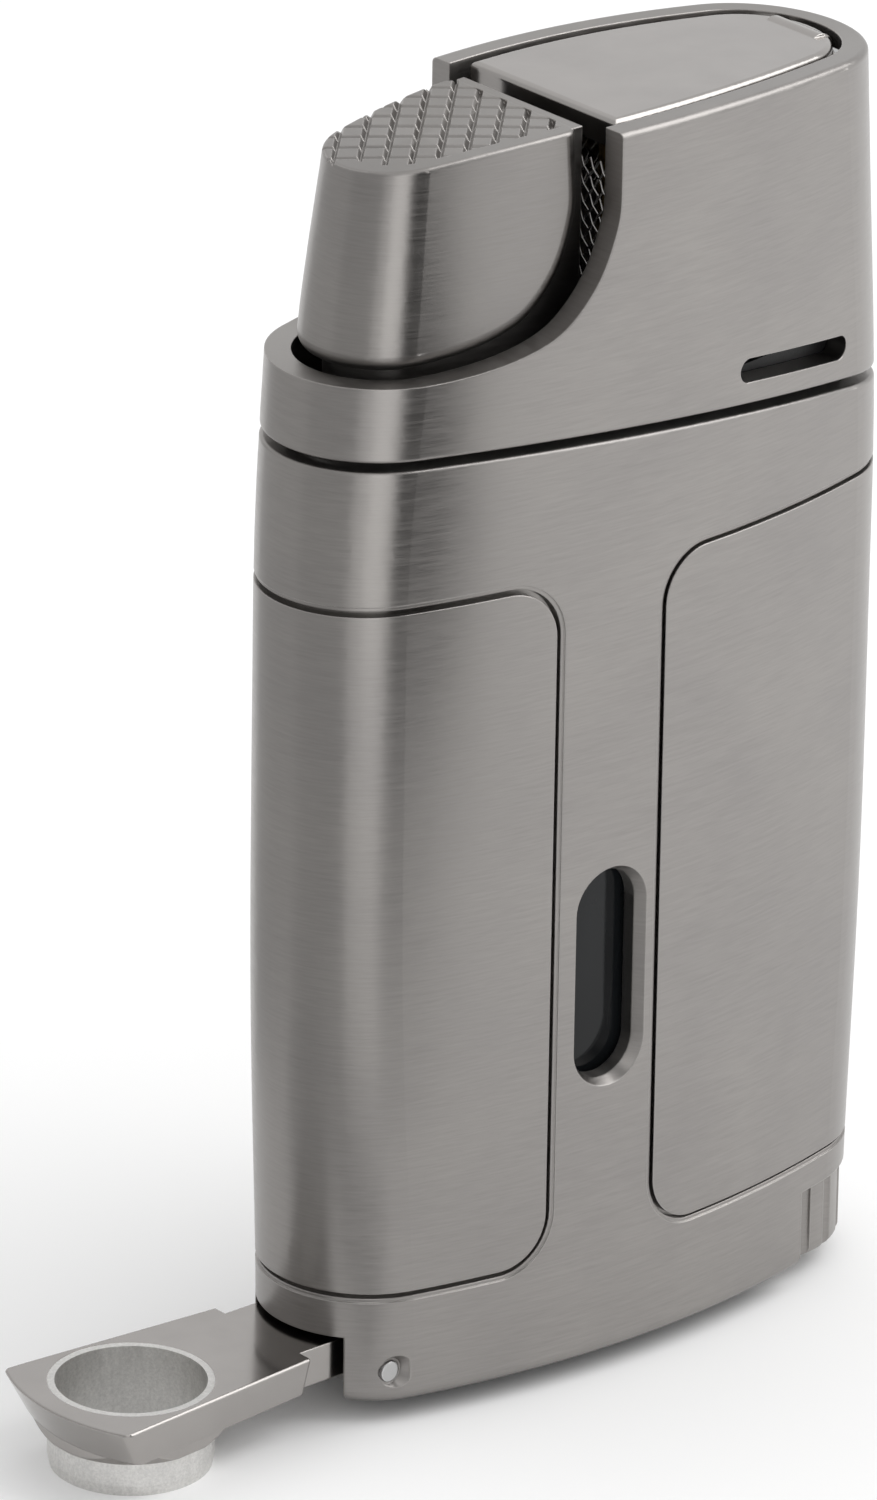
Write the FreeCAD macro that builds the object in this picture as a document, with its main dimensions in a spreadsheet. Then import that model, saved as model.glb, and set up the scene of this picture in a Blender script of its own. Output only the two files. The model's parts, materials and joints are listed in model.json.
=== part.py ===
import FreeCAD, Part
import math
import os
import Sketcher
from FreeCAD import Placement, Rotation, Vector

# Pocket torch lighter with piezo ignition, a flip lid and a fold-out punch.
# Frame: millimetres, +Z up, +X towards the flame end, -Y is the window side.
# The case stands about x = 0; parts are written with the origin below the middle
# of the whole lighter, at the level of the punch tube's edge.

DIMENSIONS = (
    # alias, value, what it is
    ("half_depth", 7.8, "half depth of the case"),
    ("face_radius", 57.0, "radius of the front and back faces"),
    ("base_gap", 0.35, "how far the base block sits above the rim"),
    ("core_width", 18.05, "half width of the straight inner core of the case"),
    ("core_depth", 6.4, "half depth of the straight inner core of the case"),
    ("fit_gap", 0.1, "gap around parts that drop into the core"),
    ("panel_thick", 0.6, "thickness of the side panels"),
    ("left_seam", 0.32, "seam around the left side panel"),
    ("right_seam", 0.2, "seam around the right side panel"),
    ("panel_step", 0.22, "width of the fine step round the panel seams"),
    ("split_round", 0.2, "edge round along the split between case and head"),
    ("panel_low", 6.62, "lower edge of the side panels"),
    ("panel_high", 45.92, "upper edge of the side panels"),
    ("panel_corner", 2.9, "corner radius of the side panels"),
    ("spine_left", -7.0, "left edge of the spine strip"),
    ("spine_right", 0.3, "right edge of the spine strip"),
    ("window_left", -5.15, "left side of the fuel window"),
    ("window_right", -1.0, "right side of the fuel window"),
    ("window_low", 16.4, "lower end of the fuel window"),
    ("window_high", 28.5, "upper end of the fuel window"),
    ("split_gap", 0.5, "gap between case and head"),
    ("head_wall", 1.4, "wall of the head shell"),
    ("rim_round", 0.35, "edge round along the top of the head"),
    ("head_crown", 70.5, "highest point of the head"),
    ("crown_radius", 300.0, "radius of the arched top of the head"),
    ("bay_edge", -3.4, "right edge of the trigger bay"),
    ("bay_side_gap", 0.7, "trigger cap to the bay's right edge"),
    ("bay_rest_gap", 0.15, "trigger cap above the bay's floor"),
    ("vent_left", 5.4, "left end of the vent slots"),
    ("vent_right", 14.4, "right end of the vent slots"),
    ("vent_low", 1.5, "lower side of the vents above the split line"),
    ("vent_high", 2.87, "upper side of the vents above the split line"),
    ("trigger_inset", 1.7, "foot of the trigger cap inside the head's outer surface"),
    ("trigger_draft", 0.85, "how much further inside the cap's top is"),
    ("skirt_inset", 2.9, "trigger skirt inside the case's outer surface"),
    ("trigger_crown", 70.25, "highest point of the trigger's top"),
    ("trigger_arch", 160.0, "radius of the trigger's arched top"),
    ("trigger_right", -3.7, "right face of the trigger skirt"),
    ("trigger_round", 0.9, "round of the cap's lower and right edges"),
    ("trigger_soft", 0.25, "round of the cap's top edge"),
    ("skirt_low", 56.0, "bottom of the trigger skirt"),
    ("knurl_x", -9.0, "middle of the knurl"),
    ("knurl_pitch", 1.38, "pitch of the knurl"),
    ("knurl_depth", 0.38, "depth of the knurl grooves"),
    ("lid_inset", 1.9, "lid inside the head's outer surface"),
    ("lid_left", -2.35, "left edge of the lid"),
    ("lid_thick", 1.6, "thickness of the lid"),
    ("lid_axis_x", 15.6, "lid hinge axis"),
    ("lid_axis_z", 69.3, "height of the lid hinge axis"),
    ("lid_knuckle", 0.95, "radius of the lid knuckle"),
    ("lid_pin", 0.45, "radius of the lid hinge pin"),
    ("run_gap", 0.05, "running clearance"),
    ("punch_axis_x", -16.06, "punch hinge axis"),
    ("punch_axis_z", 1.93, "height of the punch hinge axis"),
    ("punch_center", -29.7, "axis of the punch tube"),
    ("punch_outer", 4.5, "outer radius of the punch tube"),
    ("punch_wall", 0.4, "wall of the punch tube"),
    ("punch_low", -1.15, "cutting edge of the punch tube"),
    ("arm_top", 3.6, "outer face of the punch arm"),
    ("arm_low", 1.45, "inner face of the punch arm"),
    ("arm_tip", -35.5, "tip of the punch arm"),
    ("arm_tip_half", 5.3, "half width of the arm at its tip"),
    ("arm_side_draft", 0.3, "how far the arm's sides draw in towards its underside"),
    ("arm_tip_draft", 1.1, "how far the arm's tip draws in towards its underside"),
    ("arm_shoulder_x", -20.65, "shoulder of the arm"),
    ("arm_shoulder_half", 4.08, "half width of the arm at its shoulder"),
    ("neck_half", 3.15, "half width of the arm's neck"),
    ("arm_corner", 0.5, "round of the arm's tip corners"),
    ("arm_boss", 4.72, "radius of the boss under the arm"),
    ("boss_low", 0.85, "lower face of the boss"),
    ("punch_pin", 0.58, "radius of the punch hinge pin"),
    ("knuckle_radius", 1.62, "radius of the arm's knuckle"),
    ("slot_half", 3.72, "half width of the arm slot at the end wall"),
    ("slot_roof", 3.95, "roof of the arm pocket"),
    ("bay_top", 6.8, "top of the base block"),
    ("wheel_x", 13.6, "axis of the flame wheel"),
    ("wheel_radius", 5.6, "outer radius of the flame wheel"),
    ("wheel_low", 0.1, "lower face of the flame wheel"),
    ("wheel_high", 4.5, "upper face of the flame wheel"),
    ("wheel_window", 12.6, "where the case opens for the flame wheel"),
    ("wheel_flutes", 18, "number of flutes in the flame wheel"),
    ("filler_x", 5.9, "axis of the fill valve"),
    ("filler_radius", 1.5, "outer radius of the fill valve body"),
    ("filler_mouth", 0.9, "radius of the fill valve mouth"),
    ("screw_y", 4.5, "offset of the base screws from the middle"),
    ("tank_low", 7.0, "underside of the fuel tank"),
    ("tank_high", 34.0, "top of the fuel tank"),
    ("tank_wall", 1.0, "wall of the fuel tank"),
    ("cap_high", 35.6, "top of the tank cap"),
    ("chassis_high", 50.0, "top of the chassis walls"),
    ("collar_high", 54.6, "top of the collar"),
    ("piezo_x", -10.2, "axis of the piezo unit"),
    ("piezo_high", 49.0, "top of the piezo body"),
    ("valve_x", 5.5, "axis of the gas valve"),
    ("jet_left", 4.2, "axis of the left jet"),
    ("jet_right", 10.0, "axis of the right jet"),
    ("jet_radius", 1.9, "outer radius of a jet nozzle"),
    ("jet_high", 66.4, "top of the jet nozzles"),
    ("burner_low", 53.0, "underside of the burner block"),
    ("burner_high", 61.2, "top of the burner block"),
    ("spark_x", 7.1, "axis of the spark electrode"),
    ("mesh_low", 54.9, "lower edge of the wind screen"),
    ("mesh_high", 68.2, "upper edge of the wind screen"),
    ("mesh_thick", 0.25, "thickness of the wind screen"),
    ("mesh_hole", 0.55, "half side of a wind screen hole"),
    ("lifter_x", 11.2, "pivot of the lid lifter"),
    ("lifter_z", 66.3, "height of the lid lifter's pivot"),
    ("lifter_reach", 15.6, "length of the lifter's long arm"),
    ("chassis_floor", 36.9, "top of the chassis floor"),
    ("spring_low", 38.2, "floor of the piezo bore"),
    ("plunger_low", 46.0, "lower end of the piezo plunger"),
    ("plunger_high", 64.0, "upper end of the piezo plunger"),
    ("lever_x", 0.5, "pivot of the valve lever"),
    ("lever_z", 48.9, "height of the valve lever's pivot"),
    ("pipe_x", 10.4, "axis of the rising gas pipe"),
    ("pipe_radius", 0.6, "radius of the gas pipe"),
)

# How the half width of the case changes with height.
WIDTH_STATIONS = (
    (0.0, 19.35), (7.0, 19.42), (18.0, 19.85), (30.0, 20.05), (42.0, 20.05),
    (53.4, 19.75), (60.7, 19.22), (66.0, 18.85), (72.0, 18.4),
)

# The lower right edge of the trigger bay, from its floor up to its right side.
BAY_CURVE = (
    (-15.3, 58.6), (-12.4, 58.75), (-9.0, 59.35), (-7.05, 60.15), (-5.5, 61.55),
    (-4.5, 63.0), (-3.7, 65.0), (-3.4, 67.2),
)

doc = FreeCAD.newDocument("torch_lighter")
sheet = doc.addObject("Spreadsheet::Sheet", "dims")
for row, (alias, value, note) in enumerate(DIMENSIONS, start=1):
    sheet.set("A%d" % row, alias)
    sheet.set("B%d" % row, str(value))
    sheet.set("C%d" % row, note)
    sheet.setAlias("B%d" % row, alias)
doc.recompute()


def dim(alias):
    """Value of a driving dimension."""
    return float(sheet.get(alias))


subparts = []


def keep(feature, label):
    """Register a finished sub-part under its node name."""
    feature.Label = label
    subparts.append(feature)
    return feature


def keep_shape(shape, label):
    """Sub-part whose shape is computed from the sheet's values."""
    feature = doc.addObject("Part::Feature", "shape_" + label)
    feature.Shape = shape
    feature.Placement = shape.Placement
    return keep(feature, label)


# ---------------------------------------------------------------- sketches


def origin_plane(body, role):
    for item in body.Origin.OriginFeatures:
        if item.Role == role:
            return item
    raise RuntimeError("no plane " + role)


def new_body(label):
    body = doc.addObject("PartDesign::Body", "body_" + label)
    return keep(body, label)


def new_sketch(body, role, offset):
    """Sketch on an origin plane, moved along the plane's normal."""
    sketch = body.newObject("Sketcher::SketchObject", "sketch")
    sketch.AttachmentSupport = [(origin_plane(body, role), "")]
    sketch.MapMode = "FlatFace"
    if isinstance(offset, str):
        sketch.setExpression("AttachmentOffset.Base.z", offset)
    else:
        sketch.AttachmentOffset = Placement(Vector(0, 0, offset), Rotation())
    return sketch


def bind(sketch, index, expression):
    """Bind a constraint to an expression of sheet values."""
    sketch.setExpression("Constraints[%d]" % index, expression)


def add_circle(sketch, x, y, radius):
    """Circle at x, y, each given as a number or an expression."""
    start = [value if not isinstance(value, str) else 1.0 for value in (x, y, radius)]
    edge = sketch.addGeometry(Part.Circle(Vector(start[0], start[1], 0), Vector(0, 0, 1), start[2]))
    center = 3
    rules = (
        ("DistanceX", (-1, 1, edge, center), start[0], x),
        ("DistanceY", (-1, 1, edge, center), start[1], y),
    )
    for kind, where, value, source in rules:
        index = sketch.addConstraint(Sketcher.Constraint(kind, *where, value))
        if isinstance(source, str):
            bind(sketch, index, source)
    index = sketch.addConstraint(Sketcher.Constraint("Radius", edge, start[2]))
    if isinstance(radius, str):
        bind(sketch, index, radius)
    return edge


def add_polygon(sketch, points):
    """Closed straight-sided outline; coordinates are numbers or expressions."""
    values = []
    for pair in points:
        values.append([value if not isinstance(value, str) else expression_value(value) for value in pair])
    edges = []
    for index, point in enumerate(values):
        after = values[(index + 1) % len(values)]
        line = Part.LineSegment(Vector(point[0], point[1], 0), Vector(after[0], after[1], 0))
        edges.append(sketch.addGeometry(line))
    for index, edge in enumerate(edges):
        after = edges[(index + 1) % len(edges)]
        sketch.addConstraint(Sketcher.Constraint("Coincident", edge, 2, after, 1))
    for edge, pair, value in zip(edges, points, values):
        for kind, source, number in (("DistanceX", pair[0], value[0]), ("DistanceY", pair[1], value[1])):
            index = sketch.addConstraint(Sketcher.Constraint(kind, -1, 1, edge, 1, number))
            if isinstance(source, str):
                bind(sketch, index, source)
    return edges


def expression_value(text):
    """Number that a sheet expression gives, by summing its signed terms."""
    total = 0.0
    for term in text.replace("-", "+-").split("+"):
        term = term.strip()
        if not term:
            continue
        sign = 1.0
        if term.startswith("-"):
            sign = -1.0
            term = term[1:].strip()
        factor = 1.0
        for piece in term.split("*"):
            piece = piece.strip()
            factor *= dim(piece[5:]) if piece.startswith("dims.") else float(piece)
        total += sign * factor
    return total


def box_points(left, right, low, high):
    return ((left, low), (right, low), (right, high), (left, high))


def pad(body, sketch, length, both=False):
    feature = body.newObject("PartDesign::Pad", "pad")
    feature.Profile = sketch
    if isinstance(length, str):
        feature.setExpression("Length", length)
    else:
        feature.Length = length
    if both:
        feature.Midplane = True
    doc.recompute()
    return feature


def pocket(body, sketch, length, both=False, flip=False):
    """Cut along the sketch normal when flip is set, else against it."""
    before = body.Shape.Volume
    feature = body.newObject("PartDesign::Pocket", "pocket")
    feature.Profile = sketch
    if isinstance(length, str):
        feature.setExpression("Length", length)
    else:
        feature.Length = length
    feature.Reversed = flip
    if both:
        feature.Midplane = True
    doc.recompute()
    if body.Shape.Volume > before - 1e-6:
        raise RuntimeError("pocket cuts nothing in " + body.Label)
    return feature


# ---------------------------------------------------------------- outlines


def outline_wire(half_width, half_depth, radius, height):
    """Lens with round ends: two face arcs joined by two tangent end arcs."""
    end = (radius ** 2 - half_width ** 2 - (radius - half_depth) ** 2) / (2.0 * (radius - half_width))
    end_x = half_width - end
    face_y = radius - half_depth
    reach = radius / (radius - end)
    join_x = end_x * reach
    join_y = face_y * (reach - 1.0)

    def point(x, y):
        return Vector(x, y, height)

    corners = (point(join_x, join_y), point(-join_x, join_y), point(-join_x, -join_y), point(join_x, -join_y))
    middles = (point(0, half_depth), point(-half_width, 0), point(0, -half_depth), point(half_width, 0))
    edges = []
    for index in range(4):
        arc = Part.Arc(corners[index], middles[index], corners[(index + 1) % 4])
        edges.append(arc.toShape())
    return Part.Wire(edges)


def width_at(height):
    """Half width of the case at a height, between the stations."""
    for (low, first), (high, second) in zip(WIDTH_STATIONS, WIDTH_STATIONS[1:]):
        if height <= high:
            return first + (second - first) * (height - low) / (high - low)
    return WIDTH_STATIONS[-1][1]


envelopes = {}


def envelope(inset):
    """Smooth outer form of the lighter, or the same form set inwards."""
    if inset not in envelopes:
        wires = []
        for height, half_width in WIDTH_STATIONS:
            wires.append(outline_wire(half_width - inset, dim("half_depth") - inset,
                                      dim("face_radius") - inset, height))
        envelopes[inset] = Part.makeLoft(wires, True, False)
    return envelopes[inset].copy()


def prism(half_width, half_depth, low, high):
    """Straight piece with the lens outline."""
    wire = outline_wire(half_width, half_depth, dim("face_radius"), low)
    return Part.Face(wire).extrude(Vector(0, 0, high - low))


def split_height(x):
    """Height of the curved split line between case and head."""
    return 53.4 - 0.0843 * x - 0.00205 * x * x


def crown_height(x):
    return dim("head_crown") - x * x / (2.0 * dim("crown_radius"))


def trigger_height(x):
    return dim("trigger_crown") - x * x / (2.0 * dim("trigger_arch"))


def side_face(points_and_arcs):
    """Face in the XZ plane from a list of edges, pushed through the depth."""
    wire = Part.Wire(points_and_arcs)
    reach = 20.0
    face = Part.Face(wire)
    face.translate(Vector(0, -reach, 0))
    return face.extrude(Vector(0, 2 * reach, 0))


def at(x, z):
    return Vector(x, 0, z)


def line(first, second):
    return Part.LineSegment(first, second).toShape()


def arc(first, middle, second):
    return Part.Arc(first, middle, second).toShape()


def under_curve(height_of, low, left=-25.0, right=25.0):
    """Block from a level up to a curved surface."""
    middle = 0.5 * (left + right)
    return side_face([
        line(at(left, low), at(right, low)),
        line(at(right, low), at(right, height_of(right))),
        arc(at(right, height_of(right)), at(middle, height_of(middle)), at(left, height_of(left))),
        line(at(left, height_of(left)), at(left, low)),
    ])


def over_curve(height_of, high, left=-25.0, right=25.0):
    """Block from a curved surface up to a level."""
    middle = 0.5 * (left + right)
    return side_face([
        line(at(left, high), at(right, high)),
        line(at(right, high), at(right, height_of(right))),
        arc(at(right, height_of(right)), at(middle, height_of(middle)), at(left, height_of(left))),
        line(at(left, height_of(left)), at(left, high)),
    ])


def box(left, right, front, back, low, high):
    return Part.makeBox(right - left, back - front, high - low, Vector(left, front, low))


def rod_y(x, z, radius, front, back):
    return Part.makeCylinder(radius, back - front, Vector(x, front, z), Vector(0, 1, 0))


def rod_z(x, y, radius, low, high):
    return Part.makeCylinder(radius, high - low, Vector(x, y, low))


def edges_where(shape, test):
    return [edge for edge in shape.Edges if test(edge.BoundBox)]


# ---------------------------------------------------------------- case


def panel_region(side, grow):
    """Rounded XZ region of one side panel, pushed through the depth."""
    low = dim("panel_low") - grow
    high = dim("panel_high") + grow
    corner = dim("panel_corner") + grow
    if side < 0:
        inner = dim("spine_left") + grow
    else:
        inner = dim("spine_right") - grow
    outer = 25.0 * side
    near = inner + corner * side
    slant = corner * (1.0 - math.sqrt(0.5))
    mid = inner + slant * side
    return side_face([
        line(at(outer, low), at(near, low)),
        arc(at(near, low), at(mid, low + slant), at(inner, low + corner)),
        line(at(inner, low + corner), at(inner, high - corner)),
        arc(at(inner, high - corner), at(mid, high - slant), at(near, high)),
        line(at(near, high), at(outer, high)),
        line(at(outer, high), at(outer, low)),
    ])


def side_panel(side, label):
    panel = envelope(0.0).common(panel_region(side, 0.0))
    panel = panel.cut(envelope(dim("panel_thick")))
    keep_shape(panel.Solids[0], label)


def window_cutter():
    """Slot with flared rim through the front wall."""
    left, right = dim("window_left"), dim("window_right")
    low, high = dim("window_low"), dim("window_high")
    wires = []
    for depth, grow in ((-8.4, 0.75), (-7.15, 0.0), (-5.0, -0.02)):
        radius = 0.5 * (right - left) + grow
        middle = 0.5 * (right + left)
        bottom, top = low + radius - grow, high - radius + grow

        def point(x, z, y=depth):
            return Vector(x, y, z)

        edges = [
            line(point(middle + radius, bottom), point(middle + radius, top)),
            arc(point(middle + radius, top), point(middle, top + radius), point(middle - radius, top)),
            line(point(middle - radius, top), point(middle - radius, bottom)),
            arc(point(middle - radius, bottom), point(middle, bottom - radius), point(middle + radius, bottom)),
        ]
        wires.append(Part.Wire(edges))
    return Part.makeLoft(wires, True, True)


def arm_outline(grow, mirror_x=False, tip_draft=0.0):
    """Plan outline of the arm from shoulder to tip as a wire at z = 0."""
    tip = dim("arm_tip") - grow + tip_draft
    tip_half = dim("arm_tip_half") + grow
    root = dim("arm_shoulder_x") + grow
    root_half = dim("arm_shoulder_half") + grow
    bow = 1.3
    corner = Vector(tip + bow, tip_half, 0)
    edges = [
        line(Vector(root, root_half, 0), corner),
        arc(corner, Vector(tip, 0, 0), Vector(tip + bow, -tip_half, 0)),
        line(Vector(tip + bow, -tip_half, 0), Vector(root, -root_half, 0)),
        line(Vector(root, -root_half, 0), Vector(root, root_half, 0)),
    ]
    wire = Part.Wire(edges)
    if mirror_x:
        wire = wire.mirror(Vector(dim("punch_axis_x"), 0, 0), Vector(1, 0, 0))
    return wire


def arm_pocket():
    """Room for the folded arm, its neck slot and the punch tube."""
    roof = dim("slot_roof")
    folded = Part.Face(arm_outline(0.32, True)).extrude(Vector(0, 0, roof + 2.0))
    folded.translate(Vector(0, 0, -2.0))
    axis = dim("punch_axis_x")
    slot = box(-25.0, 2 * axis - dim("arm_shoulder_x"), -dim("slot_half"), dim("slot_half"), -2.0, roof)
    tube_x = 2 * axis - dim("punch_center")
    tube = rod_z(tube_x, 0, dim("punch_outer") + 0.4, -2.0, 5.4)
    return folded.fuse(slot).fuse(tube)


def wheel_opening():
    """Opening at the right end of the base for the flame wheel."""
    low_corner = 0.9
    left, high = dim("wheel_window"), dim("wheel_high") + 0.1
    return side_face([
        line(at(left, high), at(25.0, high)),
        line(at(25.0, high), at(25.0, -2.0)),
        line(at(25.0, -2.0), at(left - low_corner, -2.0)),
        line(at(left - low_corner, -2.0), at(left - low_corner, 0.0)),
        arc(at(left - low_corner, 0.0), at(left - 0.26, 0.26), at(left, low_corner)),
        line(at(left, low_corner), at(left, high)),
    ])


def frame_housing():
    shell = envelope(0.0)
    half_gap = 0.5 * dim("split_gap")
    shell = shell.common(under_curve(lambda x: split_height(x) - half_gap, -1.0))
    shell = shell.makeFillet(dim("split_round"), edges_where(shell, lambda bound: bound.ZMin > 50.0))
    shell = shell.makeFillet(0.75, edges_where(shell, lambda bound: bound.ZMax < 0.01))
    shell = shell.cut(prism(dim("core_width"), dim("core_depth"), -1.0, 60.0))
    deep = envelope(dim("panel_thick") + 0.02)
    shallow = envelope(0.1)
    for side, seam in ((-1, dim("left_seam")), (1, dim("right_seam"))):
        shell = shell.cut(panel_region(side, seam).cut(deep))
        shell = shell.cut(panel_region(side, seam + dim("panel_step")).cut(shallow))
    shell = shell.cut(window_cutter())
    shell = shell.cut(arm_pocket())
    shell = shell.cut(wheel_opening())
    wheel_room = rod_z(dim("wheel_x"), 0, dim("wheel_radius") + 0.3, -1.0, dim("wheel_high") + 0.15)
    shell = shell.cut(wheel_room)
    axis_x, axis_z = dim("punch_axis_x"), dim("punch_axis_z")
    shell = shell.cut(rod_y(axis_x, axis_z, dim("punch_pin") + 0.02, -9.0, 9.0))
    sink = Part.makeCone(1.15, 0.75, 0.6, Vector(axis_x, -5.75, axis_z), Vector(0, 1, 0))
    shell = shell.cut(sink)
    sink = Part.makeCone(0.75, 1.15, 0.6, Vector(axis_x, 5.15, axis_z), Vector(0, 1, 0))
    shell = shell.cut(sink)
    keep_shape(shell.Solids[0], "frame_housing")


def base_block():
    """Moulded block that closes the base and holds the folding punch."""
    gap = dim("fit_gap")
    block = prism(dim("core_width") - gap, dim("core_depth") - gap, dim("base_gap"), dim("bay_top"))
    block = block.cut(arm_pocket())
    wheel = rod_z(dim("wheel_x"), 0, dim("wheel_radius") + 0.3, -1.0, dim("wheel_high") + 0.15)
    block = block.cut(wheel)
    outer = dim("wheel_x") + 2.5
    block = block.cut(box(outer, 25.0, -9.0, 9.0, -1.0, dim("wheel_high") + 0.15))
    block = block.cut(rod_z(dim("wheel_x"), 0, 1.0 + dim("run_gap"), 0.0, 9.0))
    block = block.cut(rod_z(dim("filler_x"), 0, dim("filler_radius") + 0.02, -1.0, 9.0))
    block = block.cut(rod_y(dim("punch_axis_x"), dim("punch_axis_z"), dim("punch_pin") + 0.02, -9.0, 9.0))
    for side in (-1, 1):
        y = side * dim("screw_y")
        block = block.cut(rod_z(dim("filler_x"), y, 0.72, 0.0, 9.0))
        block = block.cut(rod_z(dim("filler_x"), y, 1.2, 0.0, 1.4))
    keep_shape(block.Solids[0], "base_block")


frame_housing()
side_panel(-1, "left_side_panel")
side_panel(1, "right_side_panel")
base_block()


# ---------------------------------------------------------------- head


def bay_region(side_gap=0.0, rest_gap=0.0, high=80.0):
    """Region left of the head's curved trigger bay edge."""
    curve = Part.BSplineCurve()
    curve.interpolate(Points=[at(x, z) for x, z in BAY_CURVE],
                      InitialTangent=Vector(1, 0, 0), FinalTangent=Vector(0, 0, 1))
    (start_x, low), (right, top) = BAY_CURVE[0], BAY_CURVE[-1]
    left = -25.0
    region = side_face([
        line(at(right, high), at(right, top)),
        curve.toShape(),
        line(at(start_x, low), at(left, low)),
        line(at(left, low), at(left, high)),
        line(at(left, high), at(right, high)),
    ])
    region.translate(Vector(-side_gap, 0, rest_gap))
    return region


def vent_cutter(front, back):
    """Slot that follows the split line, open from one face to the inside."""
    low, high = dim("vent_low"), dim("vent_high")
    radius = 0.5 * (high - low)
    left, right = dim("vent_left") + radius, dim("vent_right") - radius
    middle = 0.5 * (left + right)

    def curve_point(x, above):
        return at(x, split_height(x) + above)

    mean = 0.5 * (low + high)
    face = Part.Face(Part.Wire([
        arc(curve_point(left, low), curve_point(middle, low), curve_point(right, low)),
        arc(curve_point(right, low), at(right + radius, split_height(right) + mean), curve_point(right, high)),
        arc(curve_point(right, high), curve_point(middle, high), curve_point(left, high)),
        arc(curve_point(left, high), at(left - radius, split_height(left) + mean), curve_point(left, low)),
    ]))
    face.translate(Vector(0, front, 0))
    return face.extrude(Vector(0, back - front, 0))


def head_shell():
    half_gap = 0.5 * dim("split_gap")
    shell = envelope(0.0).common(over_curve(lambda x: split_height(x) + half_gap, 73.0))
    shell = shell.common(under_curve(crown_height, 40.0))
    shell = shell.makeFillet(dim("split_round"), edges_where(shell, lambda bound: bound.ZMax < 56.0))
    shell = shell.makeFillet(dim("rim_round"), edges_where(shell, lambda bound: bound.ZMin > 60.0))
    shell = shell.cut(envelope(dim("head_wall")))
    shell = shell.cut(bay_region())
    shell = shell.cut(vent_cutter(-9.0, -4.0))
    shell = shell.cut(vent_cutter(4.0, 9.0))
    shell = shell.cut(rod_y(dim("lid_axis_x"), dim("lid_axis_z"), dim("lid_pin") + 0.02, -4.15, 4.15))
    keep_shape(shell.Solids[0], "head_shell")


def knurl_grooves(center_x):
    """Two crossed sets of V grooves at 45 degrees, tilted with the arch."""
    rise = 0.3
    pitch, depth = dim("knurl_pitch"), dim("knurl_depth")
    half = 0.62 * depth
    reach = 14.0
    grooves = []
    for sign in (-1, 1):
        for index in range(-9, 10):
            shift = index * pitch
            flare = half * (depth + rise) / depth
            profile = Part.Wire([
                line(Vector(-flare, 0, rise), Vector(0, 0, -depth)),
                line(Vector(0, 0, -depth), Vector(flare, 0, rise)),
                line(Vector(flare, 0, rise), Vector(-flare, 0, rise)),
            ])
            groove = Part.Face(profile).extrude(Vector(0, 2 * reach, 0))
            groove.translate(Vector(shift, -reach, 0))
            groove.rotate(Vector(0, 0, 0), Vector(0, 0, 1), 45.0 * sign)
            grooves.append(groove)
    tool = grooves[0].multiFuse(grooves[1:])
    slope = math.degrees(center_x / dim("trigger_arch"))
    tool.rotate(Vector(0, 0, 0), Vector(0, 1, 0), slope)
    tool.translate(Vector(center_x, 0, 0))
    return tool


def cut_knurl(cap, tool):
    """Cut the grooves below the arched top, inside a plain border at the front."""
    top_inset = dim("trigger_inset") + dim("trigger_draft")

    def plate(inset):
        return prism(width_at(69.0) - inset, dim("half_depth") - inset, -9.0, 9.0)

    region = plate(top_inset - 0.4)
    region = region.common(box(-25.0, dim("trigger_right") - 0.5, -9.0, 9.0, -9.0, 9.0))
    front = plate(top_inset + 0.9)
    region = region.common(front.fuse(box(-25.0, 25.0, 0.0, 9.0, -9.0, 9.0)))
    tool = tool.common(region)
    tool.translate(Vector(0, 0, trigger_height(dim("knurl_x"))))
    return cap.cut(tool)


def trigger_form():
    """Outline of the trigger cap, which draws in towards its top."""
    foot, top = 60.7, 72.0
    wires = []
    for height, half_width in WIDTH_STATIONS[-4:]:
        rise = max(0.0, (height - foot) / (top - foot))
        inset = dim("trigger_inset") + dim("trigger_draft") * rise
        wires.append(outline_wire(half_width - inset, dim("half_depth") - inset,
                                  dim("face_radius") - inset, height))
    return Part.makeLoft(wires, True, False)


def trigger_button():
    """Cap that fills the trigger bay, over a narrower guided skirt."""
    cap = trigger_form().common(bay_region(dim("bay_side_gap"), dim("bay_rest_gap")))
    seam_x, roof = -12.0, 71.0
    cap = cap.makeFillet(dim("trigger_round"), edges_where(cap, lambda bound: bound.ZMin < roof and (
        bound.ZLength < 3.0 or bound.XMin > seam_x or bound.XLength > 5.0)))
    cap = cap.common(under_curve(trigger_height, 50.0))
    cap = cap.makeFillet(dim("trigger_soft"), edges_where(cap, lambda bound: bound.ZMin > 68.5))
    inner = dim("skirt_inset")
    skirt = prism(width_at(62.0) - inner, dim("half_depth") - inner, dim("skirt_low"), 72.0)
    skirt = skirt.cut(box(dim("trigger_right"), 25.0, -9.0, 9.0, 50.0, 75.0))
    skirt = skirt.common(under_curve(lambda x: trigger_height(x) - 0.02, 50.0))
    cap = cap.fuse(skirt).removeSplitter()
    cap = cut_knurl(cap, knurl_grooves(dim("knurl_x")))
    cap = cap.cut(box(-14.3, -5.6, -2.9, 2.9, 50.0, dim("plunger_high")))
    notch_high = dim("lifter_z") + 1.0
    cap = cap.cut(box(dim("bay_edge") - 2.2, 0.0, 3.2, 4.3, 50.0, notch_high))
    keep_shape(cap.Solids[0], "trigger_button")


head_shell()
trigger_button()


# ---------------------------------------------------------------- lid and flame chamber


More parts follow.
